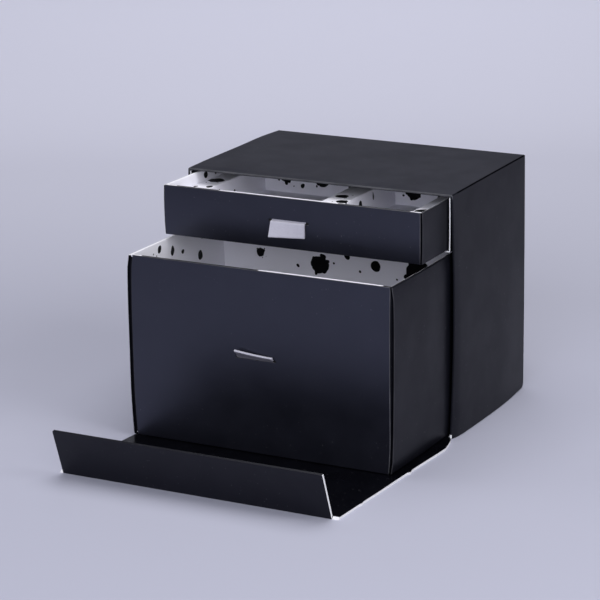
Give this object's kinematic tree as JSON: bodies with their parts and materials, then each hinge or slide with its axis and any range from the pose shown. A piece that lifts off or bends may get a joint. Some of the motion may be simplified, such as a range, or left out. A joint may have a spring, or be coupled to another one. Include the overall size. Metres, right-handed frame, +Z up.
{
  "type": "drawer presentation box",
  "caption": "Black card presentation box: an open-fronted sleeve with a shallow and a deep drawer, ribbon pulls, a fitted insert, and a bottom-hinged front flap with a lip.",
  "frame": {"origin": "centre of the sleeve's underside, on the surface that the box stands on", "axes": "+X across the front to the right, +Y from the mouth to the back, +Z up"},
  "size_m": [0.164, 0.2515, 0.137],
  "materials": {
    "black_board": "matte black print on white-cored folding board, soft sheen",
    "white_board": null,
    "satin_ribbon": "lilac-grey satin weave",
    "paper_tape": "plain paper tape"
  },
  "bodies": {
    "box": {"outer_sleeve": "black_board", "back_panel": "black_board", "back_dust_flap_left": "black_board", "back_dust_flap_right": "black_board", "shelf_liner": "black_board"},
    "flap": {"front_flap": "black_board"},
    "lip": {"flap_lip": "black_board"},
    "top_drawer": {"top_drawer_tray": "black_board", "top_drawer_front": "black_board", "top_drawer_corner_tabs": "black_board", "top_drawer_lining": "white_board", "top_drawer_insert": "white_board", "top_ribbon_pull": "satin_ribbon", "top_ribbon_tape": "paper_tape"},
    "bottom_drawer": {"bottom_drawer_tray": "black_board", "bottom_drawer_front": "black_board", "bottom_drawer_corner_tabs": "black_board", "bottom_drawer_lining": "white_board", "bottom_ribbon_pull": "satin_ribbon", "bottom_ribbon_tape": "paper_tape"}
  },
  "joints": [
    {"name": "top_drawer_slide", "type": "slide", "parent": "box", "child": "top_drawer", "axis": [0, -1, 0], "range_m": [-0.0326, 0.0557]},
    {"name": "bottom_drawer_slide", "type": "slide", "parent": "box", "child": "bottom_drawer", "axis": [0, -1, 0], "range_m": [-0.0704, 0.0179]},
    {"name": "front_flap_hinge", "type": "hinge", "parent": "box", "child": "flap", "pos_m": [0, -0.0515, 0], "axis": [1, 0, 0], "range_deg": [0, 90]},
    {"name": "flap_lip_hinge", "type": "hinge", "parent": "flap", "child": "lip", "pos_m": [0, -0.1898, 0], "axis": [1, 0, 0], "range_deg": [-21, 69]}
  ]
}
